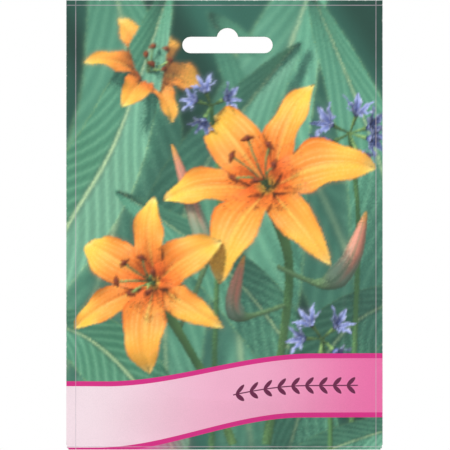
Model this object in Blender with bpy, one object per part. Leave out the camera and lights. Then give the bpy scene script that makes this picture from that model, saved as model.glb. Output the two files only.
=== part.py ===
"""Seed packet: one printed paper sheet folded into a pocket, glued shut, punched with a hanging slot.

Inside lie a sealed film sachet and its seeds. Run with: blender --background --python part.py
Metres, +Z up. The front panel faces -Y. The origin is the top of the hanging slot, where a peg bears.
"""

import math

import bmesh
import bpy

# The packet's outline: a C6 pocket, 114 x 162 mm.
WIDTH = 0.114
HEIGHT = 0.162
PUNCH_OFFSET = 0.0011  # the punch lands this far to the right of the sheet's middle
TOP = 0.010  # paper above the top of the hanging slot

# Paper and the way its layers lie on each other.
PAPER = 0.00012
FOLD_R = 0.0002  # middle of the paper round a side fold
LAYER = 0.0003  # from the middle of one pressed layer to the middle of the next
GLUE = 0.00006
HEADER_GLUE = 0.00012
HALF = WIDTH / 2 - PAPER / 2 - FOLD_R  # flat half width of the front panel
ARC = math.pi * FOLD_R
FLAP_FOLD_R = FOLD_R + LAYER  # the bottom fold goes round both layers of the back
BOTTOM = TOP - HEIGHT + FLAP_FOLD_R + PAPER / 2  # flat lower end of the front panel

# The back seam: the right-hand flap lies over the left-hand one.
SEAM_HALF = 0.007
SEAM_RAMP = 0.004

# The bottom flap, an extension of the front panel turned up over the back.
FLAP = 0.014
FLAP_HALF = HALF - 0.0005
FLAP_CHAMFER = 0.004
BACK_EDGE = BOTTOM + 0.0012  # the back panels stop short of the bottom fold

# Both sides are pressed flat as far in as a crease, wider on the left than on the right.
PRESSED_LEFT, PRESSED_RIGHT = 0.0034, 0.0024
POCKET_MID = (PRESSED_LEFT - PRESSED_RIGHT) / 2
POCKET_HALF = (WIDTH - PRESSED_LEFT - PRESSED_RIGHT) / 2

# The pocket's swelling over the seeds: depth, and the heights where it starts, peaks, eases and ends.
SWELL = 0.0040
SWELL_Z = (BOTTOM + 0.0015, -0.131, -0.112, -0.020)
SWELL_POWER = 2.5

# The hanging slot: a stadium with a round bay in the middle of its top edge.
SLOT_W, SLOT_H = 0.0326, 0.0059
BAY_R, BAY_RISE = 0.00395, 0.00317
SLOT_MID_Z = -BAY_RISE - SLOT_H / 2
HEADER_GLUE_Z = (-0.0165, 0.0085)

# The film sachet: two foil-lined films sealed round their edges.
FILM = 0.0001
SACHET_HALF, SACHET_Z = 0.042, (-0.1495, -0.052)
SEAL = 0.006
SACHET_SWELL = 0.00345
SACHET_SWELL_Z = (-0.1435, -0.1315, -0.1165, -0.060)
SACHET_POWER = 4
SEAL_GAP = 0.0001  # from the sachet's mid plane to the middle of each film at the seal

# The seeds, in the wedge of the sachet: how many in each row, from the lowest.
SEED_R = 0.0030
SEED_ROWS = (4, 3, 2)
SEED_PITCH = 0.0066
SEED_Z = -0.1305
SCAR_FLATNESS = 0.94  # the half of a seed at its scar is this much shorter than the other half
SEED_TURN = 2.4  # radians from one seed to the next, so that they lie every way


def ease(value):
    """0 to 1 with flat ends."""
    value = min(max(value, 0.0), 1.0)
    return value * value * (3 - 2 * value)


def swell(x, z, depth, half, heights, power):
    """How far a pocket of this half width stands out from its mid plane at (x, z)."""
    start, peak, fade, end = heights
    up = ease((z - start) / (peak - start)) * (1 - ease((z - fade) / (end - fade)))
    across = max(0.0, 1 - abs(x / half) ** power)
    return depth * up * across


def pocket(x, z):
    return swell(x - POCKET_MID, z, SWELL, POCKET_HALF, SWELL_Z, SWELL_POWER)


def folded(s, t):
    """Where the point (s, t) of the flat sheet lies once the sheet is folded. s is 0 at the front's middle."""
    if t < BOTTOM:
        return folded_flap(s, BOTTOM - t)
    side = 1 if s >= 0 else -1
    past = abs(s) - HALF
    if past <= 0:
        return s, -FOLD_R - pocket(s, t), t
    if past < ARC:
        turn = past / FOLD_R
        return side * (HALF + FOLD_R * math.sin(turn)), -FOLD_R * math.cos(turn), t
    x = side * (HALF - (past - ARC))
    lift = LAYER * ease((SEAM_HALF + SEAM_RAMP - x) / SEAM_RAMP) if side > 0 else 0.0
    return x, FOLD_R + lift + pocket(x, t), t


def folded_flap(s, past):
    """The bottom flap: round the bottom fold, then up the back, over both layers of the seam."""
    arc = math.pi * FLAP_FOLD_R
    middle = -FOLD_R + FLAP_FOLD_R
    if past < arc:
        turn = past / FLAP_FOLD_R
        return s, middle - FLAP_FOLD_R * math.cos(turn), BOTTOM - FLAP_FOLD_R * math.sin(turn)
    z = BOTTOM + past - arc
    return s, middle + FLAP_FOLD_R + pocket(s, z), z


def lines(start, *stretches):
    """Grid lines from start through stretches of (end, steps)."""
    here, found = start, [start]
    for end, steps in stretches:
        found += [here + (end - here) * k / steps for k in range(1, steps + 1)]
        here = end
    return found


def grid(bm, across, along):
    """A flat grid with these lines, each vertex at (line, line, 0)."""
    columns, rows = len(across) - 1, len(along) - 1
    made = bmesh.ops.create_grid(bm, x_segments=columns, y_segments=rows, size=1)["verts"]
    for vertex in made:
        column = round((vertex.co.x + 1) / 2 * columns)
        row = round((vertex.co.y + 1) / 2 * rows)
        vertex.co = (across[column], along[row], 0)
    return made


def material(name, colour, roughness, metallic=0.0):
    made = bpy.data.materials.new(name)
    made.use_nodes = True
    shader = made.node_tree.nodes["Principled BSDF"]
    shader.inputs["Base Color"].default_value = (*colour, 1)
    shader.inputs["Roughness"].default_value = roughness
    shader.inputs["Metallic"].default_value = metallic
    return made


def add_object(name, bm, parent, finish=None):
    mesh = bpy.data.meshes.new(name)
    bmesh.ops.recalc_face_normals(bm, faces=bm.faces)
    bm.to_mesh(mesh)
    bm.free()
    mesh.shade_smooth()
    made = bpy.data.objects.new(name, mesh)
    bpy.context.scene.collection.objects.link(made)
    made.parent = parent
    if finish:
        mesh.materials.append(finish)
    return made


def thicken(made, thickness):
    """Paper, glue and film are surfaces until this gives them their thickness, half to each side."""
    solid = made.modifiers.new("thickness", "SOLIDIFY")
    solid.thickness = thickness
    solid.offset = 0


def punch(made, cutter):
    cut = made.modifiers.new("hanging_slot", "BOOLEAN")
    cut.operation = "DIFFERENCE"
    cut.solver = "EXACT"
    cut.object = cutter


def slot_outline(steps=8):
    """The slot's outline, round its right end, its bay and its left end."""
    end_r, top = SLOT_H / 2, SLOT_MID_Z + SLOT_H / 2
    straight = SLOT_W / 2 - end_r
    bay_z = -BAY_R
    foot = math.asin((top - bay_z) / BAY_R)
    arcs = (
        (straight, SLOT_MID_Z, end_r, -math.pi / 2, math.pi / 2),
        (0.0, bay_z, BAY_R, foot, math.pi - foot),
        (-straight, SLOT_MID_Z, end_r, math.pi / 2, 3 * math.pi / 2),
    )
    return [
        (x + r * math.cos(a + (b - a) * k / steps), z + r * math.sin(a + (b - a) * k / steps))
        for x, z, r, a, b in arcs
        for k in range(steps + 1)
    ]


def build_punch(parent):
    """The die that cuts the slot, well longer than the header is thick."""
    bm = bmesh.new()
    reach = 0.005
    rim = [bm.verts.new((x + PUNCH_OFFSET, -reach, z)) for x, z in slot_outline()]
    face = bm.faces.new(rim)
    turned_out = bmesh.ops.extrude_face_region(bm, geom=[face])["geom"]
    moved = [v for v in turned_out if isinstance(v, bmesh.types.BMVert)]
    bmesh.ops.translate(bm, verts=moved, vec=(0, 2 * reach, 0))
    die = add_object("punch_die", bm, parent)
    die.hide_render = True
    die.display_type = "WIRE"
    return die


def build_sheet(parent, die, finish):
    """The whole packet in one sheet: front panel, two back panels that overlap, and the bottom flap."""
    end = HALF + ARC + HALF + SEAM_HALF
    lap = end - 2 * SEAM_HALF
    ramp = lap - SEAM_RAMP
    press = HALF - PRESSED_RIGHT
    across = lines(
        -end, (-lap, 2), (-HALF - ARC - PRESSED_LEFT, 7), (-HALF - ARC, 1), (-HALF, 4),
        (-FLAP_HALF, 1), (PRESSED_LEFT - HALF, 1), (press, 14), (FLAP_HALF, 1), (HALF, 1),
        (HALF + ARC, 4), (HALF + ARC + PRESSED_RIGHT, 1), (ramp, 6), (lap, 2), (end, 2),
    )
    up = lines(BOTTOM, (BACK_EDGE, 1), (BOTTOM + FLAP, 5), (SWELL_Z[1] + 0.002, 2), (SWELL_Z[3], 9), (TOP, 3))
    bm = bmesh.new()
    grid(bm, across, up)
    behind = [v for v in bm.verts if abs(v.co.x) > HALF + 1e-7 and v.co.y < BACK_EDGE - 1e-7]
    bmesh.ops.delete(bm, geom=behind, context="VERTS")

    arc = math.pi * FLAP_FOLD_R
    flap_across = [s for s in across if abs(s) < FLAP_HALF + 1e-7]
    flap_down = lines(BOTTOM, (BOTTOM - arc, 4), (BOTTOM - arc - FLAP, 6))
    grid(bm, flap_across, flap_down[::-1])
    bmesh.ops.remove_doubles(bm, verts=bm.verts, dist=1e-6)
    for vertex in bm.verts:
        s, t, _ = vertex.co
        below = BOTTOM - arc - t
        if below > 0:
            s *= 1 - FLAP_CHAMFER / FLAP_HALF * below / FLAP
        vertex.co = folded(s, t)
    sheet = add_object("packet_sheet", bm, parent, finish)
    thicken(sheet, PAPER)
    punch(sheet, die)


def build_layer(name, parent, finish, across, along, place, thickness):
    """A thin layer over a rectangle of the packet, each point put where place says."""
    bm = bmesh.new()
    grid(bm, across, along)
    for vertex in bm.verts:
        vertex.co = place(vertex.co.x, vertex.co.y)
    made = add_object(name, bm, parent, finish)
    thicken(made, thickness)
    return made


def build_glue(parent, die, finish):
    """The three glued joints that keep the packet shut."""
    inset = 0.0015
    build_layer(
        "back_seam_glue", parent, finish,
        lines(inset - SEAM_HALF, (SEAM_HALF - inset, 2)),
        lines(BACK_EDGE + 0.001, (BOTTOM + FLAP, 5), (SWELL_Z[1] + 0.002, 2), (SWELL_Z[3], 9)),
        lambda x, z: (x, FOLD_R + LAYER / 2 + pocket(x, z), z), GLUE,
    )
    build_layer(
        "bottom_flap_glue", parent, finish,
        lines(-FLAP_HALF + FLAP_CHAMFER + inset, (FLAP_HALF - FLAP_CHAMFER - inset, 12)),
        lines(BACK_EDGE + 0.001, (BOTTOM + FLAP - inset, 5)),
        lambda x, z: (x, FOLD_R + LAYER * 1.5 + pocket(x, z), z), GLUE,
    )
    header = build_layer(
        "header_glue", parent, finish,
        lines(-HALF + inset, (HALF - inset, 2)), lines(HEADER_GLUE_Z[0], (HEADER_GLUE_Z[1], 2)),
        lambda x, z: (x, 0.0, z), HEADER_GLUE,
    )
    punch(header, die)


def build_sachet(parent, finish):
    """Two films, flat and sealed at the edges, swollen over the seeds between them."""
    half = SACHET_HALF - SEAL
    across = lines(-SACHET_HALF, (-half, 1), (half, 12), (SACHET_HALF, 1))
    start, peak, fade, end = SACHET_SWELL_Z
    along = lines(SACHET_Z[0], (start, 1), (peak, 4), (fade, 2), (end, 6), (SACHET_Z[1], 1))
    for name, side in (("sachet_front_film", -1), ("sachet_back_film", 1)):

        def place(x, z, side=side):
            out = swell(x, z, SACHET_SWELL, half, SACHET_SWELL_Z, SACHET_POWER)
            return x, side * (SEAL_GAP + out), z

        build_layer(name, parent, finish, across, along, place, FILM)


def build_seeds(parent, finish):
    """Round seeds, each a little flattened at its scar, all copies of the first."""
    bm = bmesh.new()
    bmesh.ops.create_icosphere(bm, subdivisions=2, radius=SEED_R)
    for vertex in bm.verts:
        vertex.co.z *= SCAR_FLATNESS if vertex.co.z < 0 else 1.0
    first = add_object("seed_1", bm, parent, finish)
    seeds = [first]
    for count in range(2, sum(SEED_ROWS) + 1):
        copy = bpy.data.objects.new(f"seed_{count}", first.data)
        bpy.context.scene.collection.objects.link(copy)
        copy.parent = parent
        seeds.append(copy)
    places = [
        ((column - (row_count - 1) / 2) * SEED_PITCH, SEED_Z + row * SEED_PITCH * math.sqrt(3) / 2)
        for row, row_count in enumerate(SEED_ROWS)
        for column in range(row_count)
    ]
    for count, (seed, (x, z)) in enumerate(zip(seeds, places, strict=True)):
        seed.location = (x, 0, z)
        seed.rotation_euler = (0, count * SEED_TURN, 0)


def main():
    for old in list(bpy.data.objects):
        bpy.data.objects.remove(old)
    packet = bpy.data.objects.new("packet", None)
    bpy.context.scene.collection.objects.link(packet)
    packet.location.x = -PUNCH_OFFSET
    paper = material("coated_paper", (0.30, 0.52, 0.38), 0.35)
    glue = material("dry_glue", (0.86, 0.82, 0.70), 0.5)
    film = material("foil_film", (0.78, 0.79, 0.80), 0.25, 0.8)
    seed = material("seed_coat", (0.03, 0.025, 0.02), 0.55)
    die = build_punch(packet)
    build_sheet(packet, die, paper)
    build_glue(packet, die, glue)
    build_sachet(packet, film)
    build_seeds(packet, seed)


main()
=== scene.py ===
# %% [markdown]
# # A seed packet that hangs on a peg
# The packet is one sheet of coated paper, printed flat, punched with a hanging slot, folded into a pocket
# and glued. This script keeps that order: first the printed picture, then the flat sheet, then the folds.
# The glue, the film sachet and the seeds come from the CAD model and only get a finish.

# %% Load the packet's frame
import math

import bmesh
import bpy
import numpy as np
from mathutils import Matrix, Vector
from mathutils.bvhtree import BVHTree


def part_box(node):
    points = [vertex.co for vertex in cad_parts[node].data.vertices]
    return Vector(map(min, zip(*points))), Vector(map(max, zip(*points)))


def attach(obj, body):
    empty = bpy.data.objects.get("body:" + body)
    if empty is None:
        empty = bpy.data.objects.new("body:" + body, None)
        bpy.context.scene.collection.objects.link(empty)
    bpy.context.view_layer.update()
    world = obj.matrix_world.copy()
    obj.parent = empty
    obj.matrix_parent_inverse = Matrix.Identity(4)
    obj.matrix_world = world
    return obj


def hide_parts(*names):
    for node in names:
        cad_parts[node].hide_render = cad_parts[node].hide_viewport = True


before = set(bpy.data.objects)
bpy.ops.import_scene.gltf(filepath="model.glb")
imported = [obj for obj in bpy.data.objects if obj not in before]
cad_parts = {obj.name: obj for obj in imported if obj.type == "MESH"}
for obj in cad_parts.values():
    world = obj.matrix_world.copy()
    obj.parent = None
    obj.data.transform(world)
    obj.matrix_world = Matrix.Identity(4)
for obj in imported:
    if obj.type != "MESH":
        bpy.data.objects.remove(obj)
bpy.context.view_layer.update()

sheet_low, sheet_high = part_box("packet_sheet")
print("nodes:", ", ".join(sorted(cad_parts)))
print("sheet, mm:", [round(side * 1000, 2) for side in sheet_high - sheet_low])

# %% [markdown]
# ## Inks
# A colour is easiest to choose as a hex code, but a renderer works with linear light. One helper turns the
# first into the second. The others blend colours, ease a number from 0 to 1 with flat ends and make it
# waver. They take numpy arrays, so that a picture of many thousand points is coloured in one go.

# %% Colour helpers
def ink(code):
    """A hex code as linear light."""
    parts = np.array([int(code[k:k + 2], 16) for k in (1, 3, 5)]) / 255
    return np.where(parts <= 0.04045, parts / 12.92, ((parts + 0.055) / 1.055) ** 2.4)


def blend(first, second, share):
    share = np.clip(share, 0, 1)
    if np.ndim(share):
        share = share[..., None]
    return first + (second - first) * share


def ease(start, end, value):
    along = np.clip((value - start) / (end - start), 0, 1)
    return along * along * (3 - 2 * along)


def waver(value, pitch, seed):
    """Smooth, repeatable variation between about -1 and 1."""
    first = np.sin(value * pitch + seed)
    second = 0.6 * np.sin(value * pitch * 2.3 + seed * 1.7)
    third = 0.4 * np.sin(value * pitch * 4.9 + seed * 2.9)
    return (first + second + third) / 2


print("petal orange, linear:", ink("#F68A30").round(3))

# %% [markdown]
# ## A still life for the print
# The front carries a picture of garden flowers. Petals drawn flat look like paper cut-outs, so the flowers
# are modelled, and the picture is taken of the model. It is laid out in millimetres of the print: x to the
# right, y away from the viewer, z up, with z = 0 at the top of the hanging slot. Every piece of a plant is
# a blade: a grid with one coordinate along it and one across it. Each corner remembers both, so that veins
# and streaks follow the blade however it bends.

# %% Blades
PETAL, FLORET, LEAF, STEM, BUD, ANTHER = range(6)
still = bmesh.new()
blade_uv = still.loops.layers.uv.new("blade")
blade_kind = still.faces.layers.int.new("kind")
blade_tone = still.faces.layers.float.new("tone")


def add_blade(place, kind, tone, rows, columns):
    """A grid whose point (along 0 to 1, across -1 to 1) goes where place says."""
    corners = bmesh.ops.create_grid(still, x_segments=columns, y_segments=rows, size=1)["verts"]
    marks = {}
    for corner in corners:
        marks[corner] = ((corner.co.y + 1) / 2, corner.co.x)
        corner.co = place(*marks[corner])
    for face in {face for corner in corners for face in corner.link_faces}:
        face[blade_kind] = kind
        face[blade_tone] = tone
        for loop in face.loops:
            loop[blade_uv].uv = marks[loop.vert]


def blade_width(along, widest):
    """Nothing at both ends and 1 at the widest place."""
    warped = max(along, 1e-4) ** (math.log(0.5) / math.log(widest))
    return math.sin(math.pi * warped) ** 0.85


# %% [markdown]
# A petal starts steep in the throat and bends back towards its tip. Its middle line is summed up in short
# steps, each turned a little further back. Across it, the blade has a groove along the middle, a trough
# and ruffled edges. Six petals, three narrow and three broad, make a lily.

# %% Petals and flowers
PETALS = 6
PETAL_STEPS = 40
BEND_POWER = 1.5  # above 1, a petal bends more towards its tip than in the throat
NARROW, BROAD = 0.78, 1.1  # the outer and the inner petals' share of the flower's petal width
PETAL_WIDEST = 0.48  # how far along a petal its widest place is


def petal_line(length, cup, bend):
    """Points (outwards, forwards) along a petal that starts at the angle cup and turns back by bend."""
    out, front = 0.0, 0.0
    points = [(out, front)]
    for step in range(PETAL_STEPS):
        angle = cup - bend * ((step + 0.5) / PETAL_STEPS) ** BEND_POWER
        out += math.cos(angle) * length / PETAL_STEPS
        front += math.sin(angle) * length / PETAL_STEPS
        points.append((out, front))
    return points


def ring(looks, turn, count):
    """The way that a flower looks, and directions spread evenly round it."""
    ahead = Vector(looks).normalized()
    level = ahead.orthogonal().normalized()
    angles = [turn + 2 * math.pi * step / count for step in range(count)]
    return ahead, [level * math.cos(a) + ahead.cross(level) * math.sin(a) for a in angles]


def add_flower(centre, looks, size, kind, turn, seed, width=0.2, bend=1.7, cup=0.75, tone=0.0):
    """A star of petals round centre, facing the way that looks points."""
    ahead, ways_out = ring(looks, turn, PETALS)
    for count, out in enumerate(ways_out):
        outer = count % 2
        side = ahead.cross(out)
        length = size * (1 + 0.04 * outer) * (1 + 0.08 * math.sin(7 * count + seed))
        half = size * width * (NARROW if outer else BROAD)
        petal_bend = bend * (1 + 0.12 * math.sin(3.1 * count + seed))
        twist = 0.3 * math.sin(5.3 * count + 2.1 * seed)
        line = petal_line(length, cup, petal_bend)

        def place(along, across):
            step = min(int(along * PETAL_STEPS), PETAL_STEPS - 1)
            part = along * PETAL_STEPS - step
            reach = line[step][0] + (line[step + 1][0] - line[step][0]) * part
            height = line[step][1] + (line[step + 1][1] - line[step][1]) * part
            lean = cup - petal_bend * along ** BEND_POWER
            up = ahead * math.cos(lean) - out * math.sin(lean)
            turned = side * math.cos(twist * along) + up * math.sin(twist * along)
            foot = 0.02 * size * (1 - along) ** 2
            reach_across = half * blade_width(along, PETAL_WIDEST) + foot
            wave = math.sin(along * 15 + 2 * count + seed + (1.5 if across > 0 else 0))
            ruffle = 0.055 * size * wave * abs(across) ** 3 * math.sin(math.pi * along)
            groove = 0.05 * size * math.exp(-((across / 0.16) ** 2)) * (1 - along) ** 0.7 * min(1, along * 6)
            trough = 0.22 * half * across * across * (1.2 - 0.8 * along)
            lift = 0 if outer else 0.012 * size
            middle = Vector(centre) + out * (reach + 0.03 * size) + ahead * (height + lift)
            return middle + turned * (reach_across * across) + up * (ruffle - groove + trough)

        petal_tone = tone + 0.15 * math.sin(4 * count + seed)
        add_blade(place, kind, petal_tone, rows=26, columns=10)


# %% [markdown]
# Stems, buds and stamens are tubes, and a leaf is a blade with a fold along its midrib. Both follow a
# smooth line through a few chosen points: a Catmull-Rom curve, which passes through each point.

# %% Tubes and leaves
def curve_point(points, along):
    place = along * (len(points) - 1)
    start = min(int(place), len(points) - 2)
    t = place - start
    before, here = points[max(start - 1, 0)], points[start]
    there, after = points[start + 1], points[min(start + 2, len(points) - 1)]
    bend = (2 * before - 5 * here + 4 * there - after) * t * t
    turn = (3 * here - before - 3 * there + after) * t ** 3
    return (2 * here + (there - before) * t + bend + turn) / 2


def curve_direction(points, along):
    ahead = curve_point(points, min(along + 0.01, 1))
    return (ahead - curve_point(points, max(along - 0.01, 0))).normalized()


def add_tube(route, radii, kind, tone=0.0, rows=24, columns=10):
    points = [Vector(point) for point in route]
    stations = np.linspace(0, 1, len(radii))

    def place(along, across):
        heading = curve_direction(points, along)
        right = heading.cross(Vector((0, 1, 0)))
        right = right.normalized() if right.length > 0.001 else Vector((1, 0, 0))
        back = right.cross(heading)
        radius = float(np.interp(along, stations, radii))
        angle = math.pi * across
        return curve_point(points, along) + (right * math.sin(angle) - back * math.cos(angle)) * radius

    add_blade(place, kind, tone, rows, columns)


LEAF_FOLD, LEAF_WAVE = 0.22, 0.04  # heights of its fold and ripples, as shares of its half width
LEAF_WIDEST = 0.45


def add_leaf(route, half, tone, tilt):
    points = [Vector(point) for point in route]

    def place(along, across):
        heading = curve_direction(points, along)
        side = heading.cross(Vector((0, -1, 0))).normalized()
        side = side * math.cos(tilt) + side.cross(heading) * math.sin(tilt)
        up = side.cross(heading)
        ripple = math.sin(9 * along + 2 * across)
        rise = LEAF_FOLD * abs(across) + LEAF_WAVE * ripple * abs(across)
        middle = curve_point(points, along)
        return middle + side * (half * blade_width(along, LEAF_WIDEST) * across) + up * (half * rise)

    add_blade(place, LEAF, tone, rows=40, columns=14)


# %% [markdown]
# Broad leaves at several depths fill the ground, two large lilies stand in front with their stamens, a
# third is half hidden behind a leaf, and slim buds and small lilac florets fill the gaps.

# %% Leaves of the still life
add_leaf([(-70, 62, -150), (-46, 58, -90), (-34, 54, -30), (-44, 50, 30)], 24, 0.1, 0.3)
add_leaf([(60, 60, -150), (48, 58, -95), (26, 56, -45), (-8, 50, 6)], 22, 0.2, -0.2)
add_leaf([(10, 60, -160), (4, 56, -100), (12, 52, -40), (36, 48, 30)], 26, 0.3, 0.35)
add_leaf([(-20, 48, -150), (-22, 46, -96), (-8, 44, -50), (26, 40, -4)], 17, 0.15, -0.3)
add_leaf([(70, 40, -140), (62, 40, -96), (56, 38, -52), (30, 34, 14)], 16, 0.3, 0.25)
add_leaf([(-78, 38, -110), (-58, 34, -72), (-40, 32, -40), (-20, 30, 16)], 15, 0.05, 0.15)
add_leaf([(20, 30, -160), (30, 28, -128), (46, 24, -106), (76, 20, -92)], 15, 0.25, -0.35)
add_leaf([(-16, 26, -160), (-30, 24, -132), (-50, 22, -112), (-74, 20, -104)], 13, 0.1, 0.2)
add_leaf([(14, 18, -162), (34, 16, -153), (54, 14, -146), (80, 12, -138)], 8, 0.8, -0.3)
add_leaf([(40, 34, -150), (20, 30, -112), (-4, 28, -84), (-40, 26, -58)], 12, 0.35, 0.4)
print("leaves:", len(still.faces), "faces so far")

# %% Lilies with their stamens
STAMENS = 6


def add_lily(centre, looks, size, turn, seed, tone=0.0):
    add_flower(centre, looks, size, PETAL, turn, seed, tone=tone)
    ahead, ways_out = ring(looks, seed, STAMENS)
    start = Vector(centre)
    for count, out in enumerate(ways_out):
        tip = start + ahead * size * 0.55 + out * size * (0.2 + 0.03 * math.sin(3 * count))
        middle = start + ahead * size * 0.32 + out * size * 0.07
        add_tube([start, middle, tip], [0.5, 0.42, 0.4], STEM, 0.5, rows=12, columns=6)
        half = ahead.cross(out) * size * 0.06
        anther = [tip - half, tip + ahead * 0.8, tip + half]
        add_tube(anther, [0.3, 1.15, 0.3], ANTHER, rows=8, columns=8)


add_lily((15, 0, -58), (-0.25, -0.85, 0.42), 43, 0.35, 1.0)
add_lily((-26, -8, -92), (-0.35, -0.9, 0.12), 35, 0.8, 2.6)
add_lily((-30, 34, -18), (0.35, -0.7, 0.5), 24, 0.1, 4.2, tone=-0.1)
add_tube([(15, 4, -62), (22, 14, -84), (20, 20, -112), (14, 22, -150)], [2.6, 1.7, 1.6, 1.8], STEM)
add_tube([(-26, -4, -95), (-16, 8, -112), (-6, 14, -130), (2, 16, -150)], [2.4, 1.6, 1.5, 1.7], STEM, 0.1)
print("with lilies:", len(still.faces), "faces")

# %% Buds and lilac florets
BUDS = (
    ([(18, 10, -86), (34, 4, -92), (44, -4, -84), (50, -8, -66)], 4.4),
    ([(20, 16, -100), (6, 4, -104), (2, -4, -98), (6, -8, -82)], 3.4),
    ([(-18, 8, -110), (-8, 6, -84), (-12, 2, -66), (-20, 0, -42)], 3.6),
)
for route, radius in BUDS:
    add_tube(route, [0.9, 0.9, radius, radius * 0.75, 0.3], BUD, rows=30, columns=14)


GOLDEN_ANGLE = 2.4  # radians from one floret to the next, so that none hides another


def add_umbel(centre, florets, size, seed):
    """Florets on short stalks that spread from one point of a tall stem."""
    hub = Vector(centre)
    for count in range(florets):
        angle = seed + GOLDEN_ANGLE * count
        looks = Vector((0.8 * math.cos(angle), -0.6, 0.8 * math.sin(angle))).normalized()
        throat = hub + looks * size * 0.9
        add_flower(throat, looks, size, FLORET, count, count + seed, width=0.15, bend=0.8, cup=1.0)
        stalk = [hub, hub + looks * size * 0.3, throat]
        add_tube(stalk, [0.4, 0.45, 0.9], STEM, 0.2, rows=8, columns=6)
    down = [hub, hub + Vector((3, 5, -30)), hub + Vector((2, 11, -70)), hub + Vector((0, 19, -130))]
    add_tube(down, [0.9, 0.9, 1.0, 1.1], STEM, -0.1)


add_umbel((44, 6, -38), 6, 9, 0.3)
add_umbel((-6, 10, -28), 4, 7, 1.9)
add_umbel((34, -2, -112), 5, 8, 2.2)
bmesh.ops.triangulate(still, faces=still.faces)
still.normal_update()
still.verts.index_update()
print("still life:", len(still.faces), "triangles")

# %% [markdown]
# ## Taking the picture
# Each point of the print looks straight at the still life, along one ray. A tree of the triangles finds
# what the ray meets first. A second ray goes from there towards the sun, for shadows, and a third anywhere
# into the open, for the soft darkness between leaves. A lens tilts the first ray a little about the plane
# in focus, so that things far behind it blur.

# %% Rays
SUN = Vector((-0.5, -0.62, 0.62)).normalized()
SUN_SOFTNESS = 0.07
LENS = 0.016  # sideways shift of a ray for each unit of depth, at the rim of the lens
NEAR = 120  # the rays start this far in front of the plane in focus
SUN_REACH = 120
OPEN_REACH = 22  # how far the third ray looks for something that takes the light
OPEN_FADE = 26  # a thing this far away would take none
CLEAR = 0.12  # the second and third rays start this far off the surface
OUTWARD = 1.02  # added along the normal, this keeps any random direction outside


def look(tree, x, z, rng):
    """What the rays through (x, z) meet: which rays hit, the triangles and the points."""
    radius = LENS * np.sqrt(rng.random(len(x)))
    angle = rng.random(len(x)) * 2 * math.pi
    slant_x, slant_z = radius * np.cos(angle), radius * np.sin(angle)
    start_x, start_z = x - slant_x * NEAR, z - slant_z * NEAR
    rays = zip(start_x.tolist(), start_z.tolist(), slant_x.tolist(), slant_z.tolist())
    cast = tree.ray_cast
    met = [cast((left, -NEAR, up), (dx, 1, dz)) for left, up, dx, dz in rays]
    hits = np.array([found[2] is not None for found in met])
    faces = np.array([found[2] for found in met if found[2] is not None])
    points = np.array([tuple(found[0]) for found in met if found[2] is not None])
    return hits, faces, points


def light_reaching(tree, points, normals, rng):
    """For each point, whether the sun reaches it, and how closed in it is."""
    cast = tree.ray_cast
    suns = np.array(SUN) + rng.normal(0, SUN_SOFTNESS, points.shape)
    sides = np.where((suns * normals).sum(1) > 0, CLEAR, -CLEAR)[:, None]
    starts = (points + normals * sides).tolist()
    lit = [cast(start, sun, SUN_REACH)[2] is None for start, sun in zip(starts, suns.tolist())]
    ways = rng.normal(0, 1, points.shape)
    ways = ways / np.linalg.norm(ways, axis=1)[:, None] + normals * OUTWARD
    starts = (points + normals * CLEAR).tolist()
    gaps = [cast(start, way, OPEN_REACH)[3] for start, way in zip(starts, ways.tolist())]
    closed = np.array([0 if gap is None else 1 - gap / OPEN_FADE for gap in gaps])
    return np.array(lit, float), closed


# %% [markdown]
# The colour of a point depends on what it is part of and where on the blade it lies. A petal is red-orange
# in the throat and gold at the tip, with fine streaks and dark speckles. A leaf has a pale midrib and
# slanting side veins. These are the colours before any light.

# %% Petal colours
def layered(base, *layers):
    """A base colour with others laid over it in turn, each by its own share."""
    colour = ink(base)
    for code, share in layers:
        colour = blend(colour, ink(code), share)
    return colour


def petal_colour(along, across, tone):
    streak = waver(across, 26, 1 + tone * 9) + 0.6 * waver(across, 61, 2)
    midrib = np.exp(-((across / 0.07) ** 2)) * (1 - along) * ease(0.02, 0.2, along)
    rows = np.sin(along * 70 + 3 * np.sin(across * 9))
    speckle = rows * np.sin(across * 22 + 2 * np.sin(along * 30))
    zone = ease(0.08, 0.14, along) * (1 - ease(0.34, 0.5, along))
    colour = layered(
        "#D8B850",
        ("#EE6A26", ease(0.0, 0.1, along)),
        ("#F68A30", ease(0.12, 0.45, along)),
        ("#FCB040", ease(0.4, 0.85, along)),
        ("#FCD078", ease(0.85, 1.0, along)),
        ("#F07028", 0.32 * ease(0.1, 0.9, streak) * (1 - along)),
        ("#FCD890", 0.35 * ease(0.2, 1.0, -streak) * ease(0.1, 0.5, along)),
        ("#FCD468", 0.7 * midrib),
        ("#E06020", 0.5 * ease(0.88, 1.0, abs(across))),
        ("#8C2C14", 0.75 * ease(0.72, 0.86, speckle) * zone),
    )
    return colour * (1 + 0.25 * tone[:, None])


def floret_colour(along, across, tone):
    return layered(
        "#5060A8",
        ("#98A4E0", ease(0.1, 0.8, along)),
        ("#C8CCF0", 0.5 * ease(0.5, 1.0, abs(across))),
        ("#3C4898", 0.8 * np.exp(-((across / 0.12) ** 2))),
    )


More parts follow.
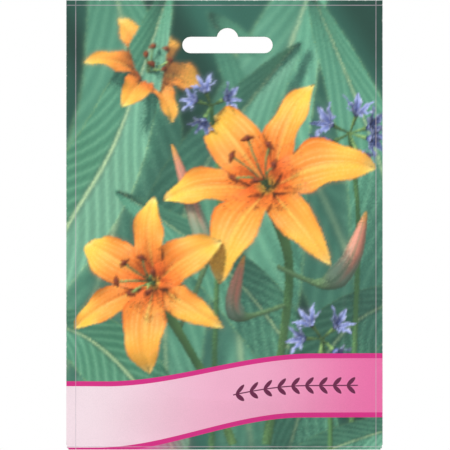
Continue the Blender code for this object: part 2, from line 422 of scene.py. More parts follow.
# %% Leaf, stem, bud and anther colours
def leaf_colour(along, across, tone):
    edge = abs(across)
    vein = 0.5 + 0.5 * np.cos(2 * math.pi * (along * 15 + edge * 3.2))
    return layered(
        "#3E8060",
        ("#5CA088", ease(-0.5, 0.6, tone + 0.25 * waver(along, 5, 3))),
        ("#8CC8A4", 0.42 * vein ** 6 * ease(0.03, 0.12, edge)),
        ("#2C6048", 0.3 * (1 - vein) ** 3),
        ("#74B890", 0.25 * ease(0.0, 1.0, waver(edge + along * 0.3, 40, 1))),
        ("#C4DCA8", 0.9 * np.exp(-((across / 0.035) ** 2))),
        ("#284C3C", 0.4 * np.exp(-(((edge - 0.08) / 0.035) ** 2))),
        ("#A8C880", 0.6 * ease(0.965, 1.0, edge)),
    )


def stem_colour(along, across, tone):
    return layered("#5C8C58", ("#A8C878", ease(-0.2, 0.8, tone + 0.2 * waver(along, 9, 1))))


def bud_colour(along, across, tone):
    rib = ease(0.3, 1, np.cos(across * 6 * math.pi)) * ease(0.4, 0.5, along)
    return layered(
        "#7CA070",
        ("#9CB098", ease(0.3, 0.6, along)),
        ("#E0907C", ease(0.55, 0.85, along + 0.1 * waver(across, 6, 2))),
        ("#F4A848", ease(0.85, 1.0, along)),
        ("#5C8060", 0.5 * rib),
    )


def anther_colour(along, across, tone):
    return layered("#6A2814", ("#9C4A20", ease(-1, 1, waver(along, 9, 1))))


# In the order of the kinds.
PAINTS = (petal_colour, floret_colour, leaf_colour, stem_colour, bud_colour, anther_colour)

# %% [markdown]
# Then comes the light: a pale sky from above, the sun from the upper left, and sunlight that shines through
# thin petals from behind, which is what makes a flower glow. Things far back fade into blue-green haze.

# %% Light on the still life
# For each kind in turn: how much light shines through it, and how glossy it is.
SHINES_THROUGH = np.array([0.6, 0.5, 0.3, 0.1, 0.1, 0.1])
GLOSS = np.array([0.05, 0.08, 0.16, 0.08, 0.1, 0.05])
SKY_TINT, SUN_TINT, GLOW_TINT = np.array([(0.86, 1.0, 1.02), (1.06, 1.0, 0.9), (1.1, 1.0, 0.6)])
HALFWAY = np.array((SUN + Vector((0, -1, 0))).normalized())  # between sun and viewer
SHINE_POWER = 16
HAZE = ink("#5C9C8C") * 0.7
HAZE_SHARE, HAZE_START, HAZE_END = 0.35, 5, 70


def light_up(colour, kinds, normals, lit, closed, depth):
    facing = normals @ np.array(SUN)
    sky = (0.42 + 0.26 * normals[:, 2] - 0.12 * normals[:, 1]) * (1 - 0.85 * closed)
    glow = SHINES_THROUGH[kinds] * (np.maximum(-facing, 0) + 0.22) * lit
    sun = np.maximum(facing, 0) * lit
    light = sky[:, None] * SKY_TINT + sun[:, None] * SUN_TINT + glow[:, None] * GLOW_TINT
    shine = np.maximum(normals @ HALFWAY, 0) ** SHINE_POWER * lit * GLOSS[kinds]
    return blend(colour * light + shine[:, None], HAZE, HAZE_SHARE * ease(HAZE_START, HAZE_END, depth))


def ground(x, z):
    """What is left where no blade is: deep, soft shade."""
    return layered("#1A3A32", ("#3A7464", ease(-1, 1, waver(x + 0.6 * z, 0.06, 1))))


# %% [markdown]
# The picture is a regular grid of points over the front. Each is sampled several times, a little to the
# side each time, and the samples are averaged, which smooths the edges of the petals.

# %% Develop the picture
PRINT_STEP = 0.46  # mm between points of the picture
SAMPLES = 6
GROUND_DEPTH = 60
BRIGHTEST = 1.1
print_low = np.array([sheet_low.x, sheet_low.z]) * 1000 - PRINT_STEP
print_high = np.array([sheet_high.x, sheet_high.z]) * 1000 + PRINT_STEP


def inside_triangles(points, first, second, third):
    """The share of each of its triangle's corners in a point, and the flat triangles' normals."""
    flat = np.cross(second - first, third - first)
    area = (flat * flat).sum(1) + 1e-12
    to_second = (np.cross(points - first, third - first) * flat).sum(1) / area
    to_third = (np.cross(second - first, points - first) * flat).sum(1) / area
    shares = np.stack([1 - to_second - to_third, to_second, to_third], 1)[..., None]
    towards_viewer = np.where(flat[:, 1] > 0, -1, 1)[:, None]
    return shares, flat / np.sqrt(area)[:, None] * towards_viewer


def develop():
    """The picture and how far back it lies, row by row."""
    tree = BVHTree.FromBMesh(still)
    corners = np.array([vertex.co for vertex in still.verts])
    smooth = np.array([vertex.normal for vertex in still.verts])
    triangles = np.array([[vertex.index for vertex in face.verts] for face in still.faces])
    marks = np.array([[tuple(loop[blade_uv].uv) for loop in face.loops] for face in still.faces])
    kinds = np.array([face[blade_kind] for face in still.faces])
    tones = np.array([face[blade_tone] for face in still.faces])
    rng = np.random.default_rng(4)
    columns = np.arange(print_low[0], print_high[0] + PRINT_STEP, PRINT_STEP)
    rows = np.arange(print_low[1], print_high[1] + PRINT_STEP, PRINT_STEP)
    x, z = (axis.ravel() for axis in np.meshgrid(columns, rows))
    total = np.zeros((len(x), 3))
    depths = np.zeros(len(x))
    for _ in range(SAMPLES):
        near_x = x + (rng.random(len(x)) - 0.5) * PRINT_STEP
        near_z = z + (rng.random(len(x)) - 0.5) * PRINT_STEP
        hits, faces, points = look(tree, near_x, near_z, rng)
        first, second, third = (corners[triangles[faces, corner]] for corner in range(3))
        shares, flat = inside_triangles(points, first, second, third)
        along, across = (marks[faces] * shares).sum(1).T
        normals = (smooth[triangles[faces]] * shares).sum(1)
        normals = normals / (np.linalg.norm(normals, axis=1)[:, None] + 1e-9)
        normals = normals * np.where((normals * flat).sum(1) < 0, -1, 1)[:, None]
        lit, closed = light_reaching(tree, points, flat, rng)
        colour = np.zeros(points.shape)
        for kind, paint in enumerate(PAINTS):
            chosen = kinds[faces] == kind
            colour[chosen] = paint(along[chosen], across[chosen], tones[faces][chosen])
        seen = ground(near_x, near_z)
        seen[hits] = light_up(colour, kinds[faces], normals, lit, closed, points[:, 1])
        total += np.clip(seen, 0, BRIGHTEST)
        depths[hits] += points[:, 1]
        depths[~hits] += GROUND_DEPTH
    shape = (len(rows), len(columns))
    return (total / SAMPLES).reshape(*shape, 3), (depths / SAMPLES).reshape(shape)


picture, picture_depth = develop()
still.free()
print("picture:", picture.shape, "mean colour", picture.mean((0, 1)).round(3))

# %% [markdown]
# What lies far behind the plane in focus should be soft, but a few samples leave it grainy. So it is
# averaged with its neighbours, the more the deeper it lies.

# %% Soften what is far
def spread(values, times):
    """Each value averaged with its neighbours, many times over."""
    for _ in range(times):
        for axis in (0, 1):
            values = (np.roll(values, 1, axis) + 2 * values + np.roll(values, -1, axis)) / 4
    return values


SOFT_START, SOFT_END = 34, 70
softness = ease(SOFT_START, SOFT_END, spread(picture_depth, 2))
picture = blend(picture, spread(picture, 4), softness)
print("softened share:", round(float(softness.mean()), 2))

# %% [markdown]
# ## The sheet, flat
# The sheet is first a flat slab of paper: x runs across it, y up it and z through it, with the printed
# side up. Its lines fall where it will be folded. The picture is stored at the corners of the front's upper
# side, so that side alone is subdivided.

# %% Flat sheet
PAPER = 0.00012
FOLD_R = 0.0002  # middle of the paper round a side fold
LAYER = 0.0003  # from the middle of one pressed layer to the middle of the next
PUNCH_OFFSET = 0.0011  # the punch lands this far to the right of the sheet's middle
SEAM_HALF, SEAM_RAMP = 0.007, 0.004
FLAP, FLAP_CHAMFER, FLAP_INSET = 0.014, 0.004, 0.0005
BACK_GAP = 0.0012  # the back panels stop this far above the bottom fold
PRESSED_LEFT, PRESSED_RIGHT = 0.0034, 0.0024  # widths pressed flat beside the side folds
TINY, SAME_PLACE = 1e-7, 1e-6
half_width = (sheet_high.x - sheet_low.x) / 2
half = half_width - PAPER / 2 - FOLD_R
arc = math.pi * FOLD_R
flap_fold_r = FOLD_R + LAYER
flap_arc = math.pi * flap_fold_r
flap_half = half - FLAP_INSET
top = sheet_high.z
bottom = sheet_low.z + flap_fold_r + PAPER / 2
back_edge = bottom + BACK_GAP
end = half + arc + half + SEAM_HALF
lap = end - 2 * SEAM_HALF
CUTS = 4  # new lines between two old ones on the printed front


def lines(start, *stretches):
    found = [start]
    for stop, steps in stretches:
        found += list(np.linspace(found[-1], stop, steps + 1)[1:])
    return found


def lay_grid(bm, across, up):
    columns, rows = len(across) - 1, len(up) - 1
    corners = bmesh.ops.create_grid(bm, x_segments=columns, y_segments=rows, size=1)["verts"]
    for corner in corners:
        column = round((corner.co.x + 1) / 2 * columns)
        row = round((corner.co.y + 1) / 2 * rows)
        corner.co = (across[column], up[row], 0)


across = lines(
    -end, (-lap, 3), (-half - arc - PRESSED_LEFT, 14), (-half - arc, 1), (-half, 6), (-flap_half, 1),
    (PRESSED_LEFT - half, 1), (half - PRESSED_RIGHT, 47), (flap_half, 1), (half, 1), (half + arc, 6),
    (half + arc + PRESSED_RIGHT, 1), (lap - SEAM_RAMP, 12), (lap, 3), (end, 3),
)
up = lines(bottom, (back_edge, 1), (bottom + FLAP, 6), (top, 60))
sheet = bmesh.new()
lay_grid(sheet, across, up)
under = [v for v in sheet.verts if abs(v.co.x) > half + TINY and v.co.y < back_edge - TINY]
bmesh.ops.delete(sheet, geom=under, context="VERTS")
flap_lines = lines(bottom - flap_arc - FLAP, (bottom - flap_arc, 6), (bottom, 6))
lay_grid(sheet, [s for s in across if abs(s) < flap_half + TINY], flap_lines)
bmesh.ops.remove_doubles(sheet, verts=sheet.verts, dist=SAME_PLACE)
for corner in sheet.verts:
    below = bottom - flap_arc - corner.co.y
    if below > 0:
        corner.co.x *= 1 - FLAP_CHAMFER / flap_half * below / FLAP
print("flat sheet:", len(sheet.faces), "faces")

# %% Thickness and a fine printed front
def pull_up(bm, height):
    """Makes a flat bmesh into a slab of this height, centred on z = 0."""
    pulled = bmesh.ops.extrude_face_region(bm, geom=bm.faces[:])["geom"]
    upper = [piece for piece in pulled if isinstance(piece, bmesh.types.BMVert)]
    bmesh.ops.translate(bm, verts=upper, vec=(0, 0, height))
    bmesh.ops.translate(bm, verts=bm.verts, vec=(0, 0, -height / 2))
    bmesh.ops.recalc_face_normals(bm, faces=bm.faces)


pull_up(sheet, PAPER)


def is_printed_front(face):
    middle = face.calc_center_median()
    return face.normal.z > 0.5 and abs(middle.x) < half and middle.y > bottom


fine = dict.fromkeys(edge for face in sheet.faces if is_printed_front(face) for edge in face.edges)
bmesh.ops.subdivide_edges(sheet, edges=list(fine), cuts=CUTS, use_grid_fill=True)
print("with its printed front:", len(sheet.faces), "faces")

# %% [markdown]
# ## The hanging slot
# A die punches the slot through the flat sheet: a long hole with round ends and a round bay in its top
# edge, where a peg comes to rest. The three arcs that bound it are walked in turn, and the outline is
# extruded into the die. The Booleans are done while the sheet is flat, where each meets only one layer.

# %% Punch the slot
SLOT_W, SLOT_H = 0.0326, 0.0059
BAY_R, BAY_RISE = 0.00395, 0.00317
ARC_STEPS = 16
DIE_HEIGHT = 0.002


def slot_outline():
    end_r, middle = SLOT_H / 2, -BAY_RISE - SLOT_H / 2
    straight = SLOT_W / 2 - end_r
    foot = math.asin((BAY_R - BAY_RISE) / BAY_R)
    arcs = (
        (straight, middle, end_r, -math.pi / 2, math.pi / 2),
        (0.0, -BAY_R, BAY_R, foot, math.pi - foot),
        (-straight, middle, end_r, math.pi / 2, 3 * math.pi / 2),
    )
    for x, z, radius, first, last in arcs:
        for angle in np.linspace(first, last, ARC_STEPS + 1):
            yield x + radius * math.cos(angle), z + radius * math.sin(angle)


def add_object(name, data):
    made = bpy.data.objects.new(name, data)
    bpy.context.scene.collection.objects.link(made)
    return made


def as_object(name, bm):
    mesh = bpy.data.meshes.new(name)
    bm.to_mesh(mesh)
    bm.free()
    return add_object(name, mesh)


def punched(part, centre_x):
    """The flat sheet's bmesh with a slot cut in it, its middle at centre_x."""
    die = bmesh.new()
    die.faces.new([die.verts.new((centre_x + x, z, 0)) for x, z in slot_outline()])
    pull_up(die, DIE_HEIGHT)
    tool, flat = as_object("die", die), as_object("flat_sheet", part)
    cut = flat.modifiers.new("slot", "BOOLEAN")
    cut.operation, cut.solver, cut.object = "DIFFERENCE", "EXACT", tool
    result = bmesh.new()
    result.from_object(flat, bpy.context.evaluated_depsgraph_get())
    bpy.data.objects.remove(flat)
    bpy.data.objects.remove(tool)
    return result


# The folded packet's one slot is three cuts in the flat sheet: in the front and in each back panel.
sheet = punched(sheet, PUNCH_OFFSET)
for side in (-1, 1):
    sheet = punched(sheet, side * (half + arc + half) - PUNCH_OFFSET)
print("punched:", len(sheet.faces), "faces")

# %% [markdown]
# ## Folding
# Folding gives every point of the flat sheet its place on the packet: the front stays, the sides turn half
# a circle round each edge, the right panel steps up over the left one at the seam, and the flap turns up
# over both. The pocket swells over the seeds. The paper's thickness goes the way that the folded sheet
# faces at each point, which its neighbours tell.

# %% Fold the sheet
SWELL, SWELL_POWER = 0.0040, 2.5
SWELL_PEAK, SWELL_FADE, SWELL_END = -0.131, -0.112, -0.020
swell_start = bottom + 0.0015
pocket_mid = (PRESSED_LEFT - PRESSED_RIGHT) / 2
pocket_half = half_width - (PRESSED_LEFT + PRESSED_RIGHT) / 2
SACHET_HALF, SACHET_LOW, SACHET_HIGH = 0.042, -0.1497, -0.052
PRESS, PRESS_RAMP = 0.00025, 0.002  # the sachet's outline shows this much through the paper
NUDGE = 0.00001  # from a point to its neighbours


def pocket(x, z):
    rise = ease(swell_start, SWELL_PEAK, z) * (1 - ease(SWELL_FADE, SWELL_END, z))
    swelling = SWELL * rise * np.maximum(0, 1 - np.abs((x - pocket_mid) / pocket_half) ** SWELL_POWER)
    across = ease(SACHET_HALF + PRESS_RAMP, SACHET_HALF, np.abs(x))
    up = ease(swell_start, SACHET_LOW, z) * ease(SACHET_HIGH + PRESS_RAMP, SACHET_HIGH, z)
    return np.minimum(swelling + PRESS * across * up, SWELL)


def folded(s, t):
    """Where the points (s, t) of the flat sheet lie on the packet."""
    side = np.where(s >= 0, 1, -1)
    past = np.abs(s) - half
    turn = np.clip(past / FOLD_R, 0, math.pi)
    beyond = np.maximum(past - arc, 0)
    x = np.where(past <= 0, s, side * (half + FOLD_R * np.sin(turn) - beyond))
    lift = np.where((side > 0) & (beyond > 0), LAYER * ease(SEAM_HALF + SEAM_RAMP, SEAM_HALF, x), 0)
    out = np.where(past <= 0, -pocket(x, t), np.where(beyond > 0, pocket(x, t), 0))
    y = -FOLD_R * np.cos(turn) + lift + out
    below = np.maximum(bottom - t, 0)
    flap_turn = np.minimum(below / flap_fold_r, math.pi)
    rise = np.maximum(below - flap_arc, 0)
    flap_z = bottom - flap_fold_r * np.sin(flap_turn) + rise
    flap_y = flap_fold_r * (1 - np.cos(flap_turn)) - FOLD_R + np.where(rise > 0, pocket(s, flap_z), 0)
    on_flap = (below > 0)[:, None]
    return np.where(on_flap, np.stack([s, flap_y, flap_z], 1), np.stack([x, y, t], 1))


flat = np.array([corner.co for corner in sheet.verts])
s, t, through = flat.T
place = folded(s, t)
along_s = folded(s + NUDGE, t) - folded(s - NUDGE, t)
along_t = folded(s, t + NUDGE) - folded(s, t - NUDGE)
facing = np.cross(along_s, along_t)
facing /= np.linalg.norm(facing, axis=1)[:, None]
place += facing * through[:, None]
sheet_middle = (sheet_low.x + sheet_high.x) / 2  # not 0: the slot is, and it is off the middle
place[:, 0] += sheet_middle
for corner, point in zip(sheet.verts, place.tolist()):
    corner.co = point
print("folded, mm:", ((place.max(0) - place.min(0)) * 1000).round(2))

# %% [markdown]
# The picture is stored on the corners of the printed side, as a colour attribute called print. A UV map
# unrolls the sheet: the front and flap large, the back panels about half as large and the inside small.

# %% Ink on the corners, and a map
JUST_OVER_ONE = 1.001


def picture_at(x, z):
    """The picture's colour at each place, blended from the four points round it."""
    column = np.clip((x * 1000 - print_low[0]) / PRINT_STEP, 0, picture.shape[1] - JUST_OVER_ONE)
    row = np.clip((z * 1000 - print_low[1]) / PRINT_STEP, 0, picture.shape[0] - JUST_OVER_ONE)
    left, low = column.astype(int), row.astype(int)
    lower = blend(picture[low, left], picture[low, left + 1], column - left)
    upper = blend(picture[low + 1, left], picture[low + 1, left + 1], column - left)
    return blend(lower, upper, row - low)


FRONT_SCALE, BACK_SCALE, INSIDE_SCALE = 5.55, 3.0, 0.5
MARGIN = 0.005
FLAT_LOW = -0.1685  # just below the flap of the flat sheet
BACK_LEFT, RIGHT_PANEL_LOW = 0.66, 0.505
INSIDE_LEFT, INSIDE_LOW = 0.87, 0.1
INSIDE_DROP = 0.02  # more than the flap reaches below the front
PRINTED_SIDE = PAPER * 0.49


def on_map(x, y, middle):
    """The place on the map of the point (x, y) of a face with this middle."""
    if middle.z < PRINTED_SIDE:
        across, up = (x + end) * INSIDE_SCALE, (y - bottom + INSIDE_DROP) * INSIDE_SCALE
        return INSIDE_LEFT + across, INSIDE_LOW + up
    if abs(middle.x) < half:
        return MARGIN + (x + half) * FRONT_SCALE, MARGIN + (y - FLAT_LOW) * FRONT_SCALE
    across = x - half if middle.x > 0 else x + end
    low = RIGHT_PANEL_LOW if middle.x > 0 else MARGIN
    return BACK_LEFT + across * BACK_SCALE, low + (y - bottom) * BACK_SCALE


uv = sheet.loops.layers.uv.new("OFBake")
for face in sheet.faces:
    middle = sum((Vector(flat[loop.vert.index]) for loop in face.loops), Vector()) / len(face.loops)
    for loop in face.loops:
        x, y, _ = flat[loop.vert.index]
        loop[uv].uv = on_map(x, y, middle)
    face.smooth = True
printed = picture_at(s + sheet_middle, np.minimum(t, top))
colours = np.where((through > 0)[:, None], printed, ink("#F2EEE4"))
printed_sheet = as_object("printed_sheet", sheet)
layer = printed_sheet.data.color_attributes.new("print", "FLOAT_COLOR", "POINT")
layer.data.foreach_set("color", np.column_stack([colours, np.ones(len(colours))]).ravel())
inked = printed_sheet.data.attributes.new("inked", "FLOAT", "POINT")
inked.data.foreach_set("value", (through > 0).astype(float))
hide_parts("packet_sheet")
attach(printed_sheet, "root")
print("printed sheet:", sum(len(f.vertices) - 2 for f in printed_sheet.data.polygons), "triangles")

# %% [markdown]
# ## Finishes
# A small helper makes nodes and links them, so that each finish reads as a recipe.

# %% Node helper
class Recipe:
    def __init__(self, name):
        self.material = bpy.data.materials.new(name)
        self.material.use_nodes = True
        self.tree = self.material.node_tree
        self.shader = self.tree.nodes["Principled BSDF"]
        self.place = self.node("TexCoord").outputs["Object"]

    def node(self, kind, inputs=None, **settings):
        made = self.tree.nodes.new("ShaderNode" + kind)
        for key, value in settings.items():
            setattr(made, key, value)
        for key, value in (inputs or {}).items():
            self.feed(made.inputs[key], value)
        return made

    def feed(self, socket, value):
        """Links a socket to another, or gives it a number or a colour code."""
        if isinstance(value, bpy.types.NodeSocket):
            self.tree.links.new(value, socket)
        elif isinstance(value, str):
            socket.default_value = (*ink(value), 1.0)
        else:
            socket.default_value = value

    def math(self, operation, first, second=0.0):
        return self.node("Math", {0: first, 1: second}, operation=operation).outputs[0]

    def ramp(self, value, low, high, start=0.0, stop=1.0):
        inputs = {"Value": value, "From Min": low, "From Max": high, "To Min": start, "To Max": stop}
        return self.node("MapRange", inputs, interpolation_type="SMOOTHSTEP").outputs[0]

    def between(self, value, low, high, soft):
        """1 between low and high, and 0 outside, with edges as wide as soft."""
        rising = self.ramp(value, low, low + soft)
        falling = self.ramp(value, high, high - soft)
        return self.math("MULTIPLY", rising, falling)

    def times(self, first, *others):
        for other in others:
            first = self.math("MULTIPLY", first, other)
        return first

    def distance(self, first, second):
        return self.math("ABSOLUTE", self.math("SUBTRACT", first, second))

    def mix(self, share, first, second):
        inputs = {"Factor": share, 6: first, 7: second}
        return self.node("Mix", inputs, data_type="RGBA").outputs[2]

    def noise(self, scale, detail=3.0, place=None):
        inputs = {"Vector": place or self.place, "Scale": scale, "Detail": detail}
        return self.node("TexNoise", inputs).outputs[0]

    def bump(self, height, strength, distance, normal=None):
        inputs = {"Height": height, "Strength": strength, "Distance": distance}
        if normal:
            inputs["Normal"] = normal
        return self.node("Bump", inputs).outputs[0]

    def shade(self, colour, roughness, normal):
        self.feed(self.shader.inputs["Base Color"], colour)
        self.feed(self.shader.inputs["Roughness"], roughness)
        self.feed(self.shader.inputs["Normal"], normal)


# %% [markdown]
# The front's pink band is a common curved stripe. Its edges must be sharp, so nodes draw it: two smooth
# steps give the heights of its upper and lower border across the packet.

# %% Printed paper
BORDER = 0.0018
SHARP = 0.00006  # half the width over which a printed edge changes colour
UPPER_STEP = (-0.044, 0.031, -0.1273, -0.1172)  # from x, to x, from z, to z
LOWER_STEP = (-0.047, 0.027, -0.1512, -0.1385)
paper = Recipe("printed_paper")
x, y, z = paper.node("SeparateXYZ", {0: paper.place}).outputs
upper_edge = paper.ramp(x, *UPPER_STEP)
lower_edge = paper.ramp(x, *LOWER_STEP)
under_upper = paper.math("SUBTRACT", upper_edge, z)
under_lower = paper.math("SUBTRACT", lower_edge, z)
in_band = paper.ramp(under_upper, -SHARP, SHARP)
past_upper = paper.ramp(under_upper, BORDER - SHARP, BORDER + SHARP)
below_band = paper.ramp(under_lower, -SHARP, SHARP)
past_lower = paper.ramp(under_lower, BORDER - SHARP, BORDER + SHARP)
on_back = paper.ramp(y, 0.0, 0.0001)
print("band and back masks made")

# %% The band's colours and the back's plain print
MAGENTA = "#DC2888"
HAIR = 0.0001  # width over which the back's print fades at its edges
COLUMN_HALF = 0.0451  # half the width of the calendar and of the ruled lines
MONTH, MONTH_GAP, MONTH_SOFT = 0.0075, 0.06, 0.03  # the pitch of the boxes, then shares of it
CALENDAR_LOW, CALENDAR_HIGH = -0.0981, -0.0909
SOWING_START, SOWING_END = 0.0075, 0.0301
RULE_PITCH, RULES_LOW, RULES_HIGH = 0.009, -0.083, -0.0339
# The band's pink print, with a painted sheen that pales it to near white towards the left
pink_paled_by_painted_sheen = paper.mix(paper.ramp(x, -0.055, 0.005), "#FBE6EF", "#F8B4D2")
fill = paper.mix(paper.ramp(x, 0.0, 0.057), pink_paled_by_painted_sheen, "#F070AC")
back_tint = paper.mix(paper.ramp(z, -0.03, -0.012), "#F3F5EA", "#4E9472")
in_column = paper.ramp(paper.math("ABSOLUTE", x), COLUMN_HALF, COLUMN_HALF - HAIR)
month = paper.math("FRACT", paper.math("DIVIDE", x, MONTH))
month_box = paper.between(month, MONTH_GAP, 1 - MONTH_GAP, MONTH_SOFT)
calendar_row = paper.between(z, CALENDAR_LOW, CALENDAR_HIGH, HAIR)
calendar = paper.times(calendar_row, in_column, month_box)
sowing = paper.between(x, SOWING_START, SOWING_END, HAIR)
month_colour = paper.mix(sowing, "#BFDDB0", "#D82E88")
rule = paper.ramp(paper.math("FRACT", paper.math("DIVIDE", z, RULE_PITCH)), 0.04, 0.03)
rules = paper.times(rule, in_column, paper.between(z, RULES_LOW, RULES_HIGH, HAIR))
back_print = paper.mix(calendar, back_tint, month_colour)
back_print = paper.mix(rules, back_print, "#9DBB98")
picture_ink = paper.node("Attribute", attribute_name="print").outputs["Color"]
scene_ink = paper.mix(on_back, picture_ink, back_print)
banded = paper.mix(in_band, scene_ink, MAGENTA)
banded = paper.mix(past_upper, banded, fill)
banded = paper.mix(below_band, banded, MAGENTA)
print("plain print of the back:", len(paper.tree.nodes), "nodes so far")

# %% [markdown]
# A plain leafy twig in dark plum runs along the band's middle. One pair of leaves is drawn in a cell that
# repeats along x: folding the cell about the stem makes the second leaf, and a leaf is a turned ellipse
# with slightly pointed ends.

# %% The twig on the band
TWIG_START, TWIG_END = 0.002, 0.047
LEAF_PITCH, LEAF_LONG, LEAF_SHORT = 0.005, 0.0021, 0.00075
STEM_HALF = 0.00022
LEAF_OUT = 0.68 * LEAF_LONG  # from the stem to a leaf's middle
SLIM = 1.6  # below 2, a leaf's outline is pointed
along_band = paper.times(paper.math("ADD", upper_edge, lower_edge), 0.5)
from_stem = paper.distance(z, paper.math("SUBTRACT", along_band, BORDER / 2))
in_cell = paper.math("FRACT", paper.math("DIVIDE", paper.math("SUBTRACT", x, TWIG_START), LEAF_PITCH))
across_cell = paper.times(paper.math("SUBTRACT", in_cell, 0.5), LEAF_PITCH)
out_from_stem = paper.math("SUBTRACT", from_stem, LEAF_OUT)
one_way = paper.math("ADD", across_cell, out_from_stem)
other_way = paper.math("SUBTRACT", across_cell, out_from_stem)
lengthwise = paper.math("ABSOLUTE", paper.times(one_way, math.sqrt(0.5) / LEAF_LONG))
crosswise = paper.math("ABSOLUTE", paper.times(other_way, math.sqrt(0.5) / LEAF_SHORT))
long_part, short_part = paper.math("POWER", lengthwise, 2.0), paper.math("POWER", crosswise, SLIM)
leaf_pair = paper.ramp(paper.math("ADD", long_part, short_part), 1.06, 0.94)
stem_line = paper.ramp(from_stem, STEM_HALF + SHARP, STEM_HALF - SHARP)
on_twig = paper.between(x, TWIG_START, TWIG_END, SHARP)
on_front = paper.math("SUBTRACT", 1.0, on_back)
twig = paper.times(paper.math("MAXIMUM", leaf_pair, stem_line), on_twig, on_front)
banded = paper.mix(twig, banded, "#6A1C48")
left_pink = paper.ramp(x, -0.036, -0.010)
under_band = paper.mix(left_pink, "#F04CA8", scene_ink)
banded = paper.mix(past_lower, banded, under_band)
print("twig leaves:", round((TWIG_END - TWIG_START) / LEAF_PITCH), "pairs")

# %% [markdown]
# A thin crease runs along each edge, where the packet was pressed. Ink cracks there, so it shows as a pale
# mauve line with a fine groove. The edges lose a little ink as well. Coated paper is slightly uneven, which
# breaks up its gloss.

# %% Creases, wear and gloss
CREASE_HALF = 0.00013
TOP_CREASE, BOTTOM_CREASE = 0.0018, 0.0011  # from the sheet's upper and lower end
RUBBED_WIDTH = 0.0004
crease = None
creases = (
    (x, sheet_low.x + PRESSED_LEFT),
    (x, sheet_high.x - PRESSED_RIGHT),
    (z, top - TOP_CREASE),
    (z, sheet_low.z + BOTTOM_CREASE),
)
for axis, where in creases:
    away = paper.distance(axis, where)
    line = paper.ramp(away, CREASE_HALF * 1.6, CREASE_HALF * 0.5)
    crease = line if crease is None else paper.math("MAXIMUM", crease, line)
uneven = paper.noise(180.0)
crease_shows = paper.times(crease, paper.ramp(uneven, 0.2, 0.6, 0.3, 0.6))
inked_side = paper.node("Attribute", attribute_name="inked").outputs["Fac"]
from_side = paper.math("SUBTRACT", half_width, paper.distance(x, sheet_middle))
from_end = paper.math("MINIMUM", paper.math("SUBTRACT", top, z), paper.math("SUBTRACT", z, sheet_low.z))
from_edge = paper.math("MINIMUM", from_side, from_end)
scuffs = paper.ramp(paper.noise(900.0), 0.52, 0.7)
rubbed = paper.times(paper.ramp(from_edge, RUBBED_WIDTH, 0.0), scuffs)
grain = paper.noise(2600.0, 2.0)
mottle = paper.noise(60.0, 4.0)
aged = paper.mix(paper.times(crease_shows, inked_side), banded, "#C9B8C4")
aged = paper.mix(paper.times(rubbed, 0.6), aged, "#F1ECE4")
clouds = paper.math("ADD", paper.times(grain, 0.6), paper.times(mottle, 0.4))
tone = paper.ramp(clouds, 0.3, 0.7, 0.965, 1.035)
toned = paper.node("VectorMath", {0: aged, "Scale": tone}, operation="SCALE").outputs[0]
finished = paper.mix(inked_side, "#EFEBE1", toned)
groove = paper.bump(paper.math("SUBTRACT", 1.0, crease), 0.25, 0.00003)
relief = paper.math("ADD", paper.times(grain, 0.3), mottle)
surface = paper.bump(relief, 0.12, 0.00012, groove)
paper.shade(finished, paper.ramp(mottle, 0.3, 0.7, 0.40, 0.52), surface)
paper.shader.inputs["Specular IOR Level"].default_value = 0.35
printed_sheet.data.materials.append(paper.material)
print("printed paper:", len(paper.tree.nodes), "nodes")

# %% [markdown]
# Inside are dried glue, foil-lined film and the seeds. Glue dries yellowish and pitted, film is crinkled
# and bright, and a seed coat is black, dull and wrinkled, with a few patches of orange.

# %% Glue, film and seed coat
def dress(word, recipe):
    """Gives this finish to every CAD node whose name starts or ends with the word."""
    for name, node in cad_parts.items():
        if name.startswith(word) or name.endswith(word):
            node.data.materials.clear()
            node.data.materials.append(recipe.material)


glue = Recipe("dry_glue_finish")
stretched = glue.node("Mapping", {"Vector": glue.place, "Scale": (300, 300, 40)}).outputs[0]
strokes = glue.noise(4.0, place=stretched)
yellow = glue.mix(glue.ramp(strokes, 0.3, 0.7), "#E9DFBE", "#CDBB8C")
glue.shade(yellow, glue.ramp(strokes, 0.3, 0.7, 0.35, 0.6), glue.bump(strokes, 0.4, 0.0001))
dress("glue", glue)

film = Recipe("foil_film_finish")
cells = {"Vector": film.place, "Scale": 170.0}
crinkle = film.node("TexVoronoi", cells, feature="DISTANCE_TO_EDGE").outputs[0]
ribs = {"Vector": film.place, "Scale": 260.0}
weld = film.node("TexWave", ribs, bands_direction="Z").outputs[1]
# Painted shade: the foil is darker along its crinkle lines, the hollows of its bump, and lighter between
# them
silver_with_painted_crinkle_shade = film.mix(film.ramp(crinkle, 0.0, 0.3), "#B9BCC0", "#D9DBDE")
ridges = film.math("ADD", crinkle, film.times(weld, 0.1))
film.shade(silver_with_painted_crinkle_shade, film.ramp(weld, 0.0, 1.0, 0.22, 0.34), film.bump(ridges, 0.5, 0.0003))
film.shader.inputs["Metallic"].default_value = 0.85
dress("film", film)

coat = Recipe("seed_coat_finish")
wrinkle = coat.noise(1500.0, 6.0)
patches = coat.ramp(coat.noise(160.0, 1.0), 0.6, 0.64)
# The coat's own black, with painted shade in the hollows of its wrinkles and lighter crests
black_with_painted_wrinkle_shade = coat.mix(coat.ramp(wrinkle, 0.35, 0.7), "#17120F", "#3A3029")
flecked = coat.mix(patches, black_with_painted_wrinkle_shade, "#E8701E")
coat.shade(flecked, coat.ramp(wrinkle, 0.3, 0.7, 0.45, 0.75), coat.bump(wrinkle, 0.5, 0.0002))
dress("seed", coat)
print("inner finishes made")

# %% [markdown]
# ## Floor, light and camera
# A pale floor lies a little below the hanging packet and fades into the plain white surroundings. A broad
# lamp at the upper left and a weaker one at the right light the front evenly, and a third lights the back.
# A long lens looks straight at the front, which keeps its edges parallel.

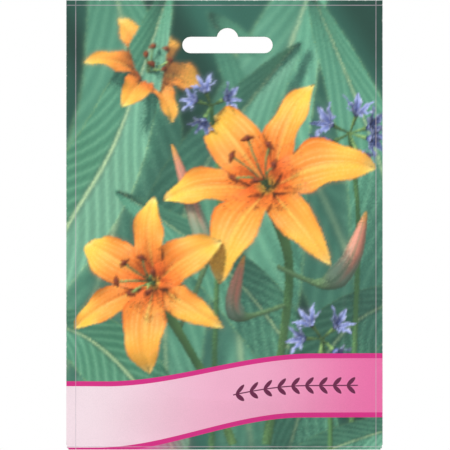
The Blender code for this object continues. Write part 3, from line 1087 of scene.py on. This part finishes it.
# %% Floor and surroundings
FLOOR_SIZE, FLOOR_GAP = 0.6, 0.012
FADE_START, FADE_END = 0.17, 0.27
floor_bm = bmesh.new()
bmesh.ops.create_grid(floor_bm, x_segments=1, y_segments=1, size=FLOOR_SIZE)
bmesh.ops.translate(floor_bm, verts=floor_bm.verts, vec=(0, 0, sheet_low.z - FLOOR_GAP))
floor = as_object("floor", floor_bm)
pale = Recipe("pale_floor")
pale.feed(pale.shader.inputs["Base Color"], "#F4F4F2")
pale.feed(pale.shader.inputs["Roughness"], 0.7)
radius = pale.node("VectorMath", {0: pale.place}, operation="LENGTH").outputs["Value"]
to_camera = pale.node("LightPath").outputs["Is Camera Ray"]
away = pale.times(pale.ramp(radius, FADE_START, FADE_END), to_camera)
white = pale.node("Emission").outputs[0]
faded = pale.node("MixShader", {0: away, 1: pale.shader.outputs[0], 2: white})
pale.feed(pale.tree.nodes["Material Output"].inputs["Surface"], faded.outputs[0])
floor.data.materials.append(pale.material)
print("floor at z =", round(sheet_low.z - FLOOR_GAP, 4))

# %% White surroundings
SKY_LIGHT = 0.7
world = bpy.data.worlds.new("studio")
bpy.context.scene.world = world
world.use_nodes = True
nodes, links = world.node_tree.nodes, world.node_tree.links
sky = nodes["Background"]
sky.inputs["Color"].default_value = (1, 1, 1, 1)
seen_path = nodes.new("ShaderNodeLightPath")
strength = nodes.new("ShaderNodeMapRange")
strength.inputs["To Min"].default_value = SKY_LIGHT
strength.inputs["To Max"].default_value = 1.0
links.new(seen_path.outputs["Is Camera Ray"], strength.inputs["Value"])
links.new(strength.outputs[0], sky.inputs["Strength"])
print("sky light:", SKY_LIGHT)

# %% Lamps and camera
middle = (sheet_low + sheet_high) / 2


def add_lamp(name, place, size, power):
    lamp = bpy.data.lights.new(name, "AREA")
    lamp.size, lamp.energy = size, power
    made = add_object(name, lamp)
    made.location = place
    made.rotation_euler = (middle - Vector(place)).to_track_quat("-Z", "Y").to_euler()


add_lamp("key_lamp", (-0.7, -0.9, 0.7), 0.6, 3.9)
add_lamp("fill_lamp", (0.8, -0.8, 0.1), 0.7, 1.6)
add_lamp("back_lamp", (0.3, 1.0, 0.6), 0.7, 3.0)

FRAME_HEIGHT = 0.1622  # what the picture takes in, at the packet's own distance
LENS_MM, SENSOR_MM = 400, 36
CAMERA_SHIFT = 0.0002
camera_data = bpy.data.cameras.new("camera")
camera_data.lens, camera_data.sensor_width = LENS_MM, SENSOR_MM
camera_data.clip_start, camera_data.clip_end = 0.01, 20
camera = add_object("camera", camera_data)
camera.location = (middle.x + CAMERA_SHIFT, -FRAME_HEIGHT * LENS_MM / SENSOR_MM, middle.z)
camera.rotation_euler = (math.pi / 2, 0, 0)
bpy.context.scene.camera = camera
bpy.context.scene.view_settings.view_transform = "Standard"
print("camera at", [round(value, 3) for value in camera.location])
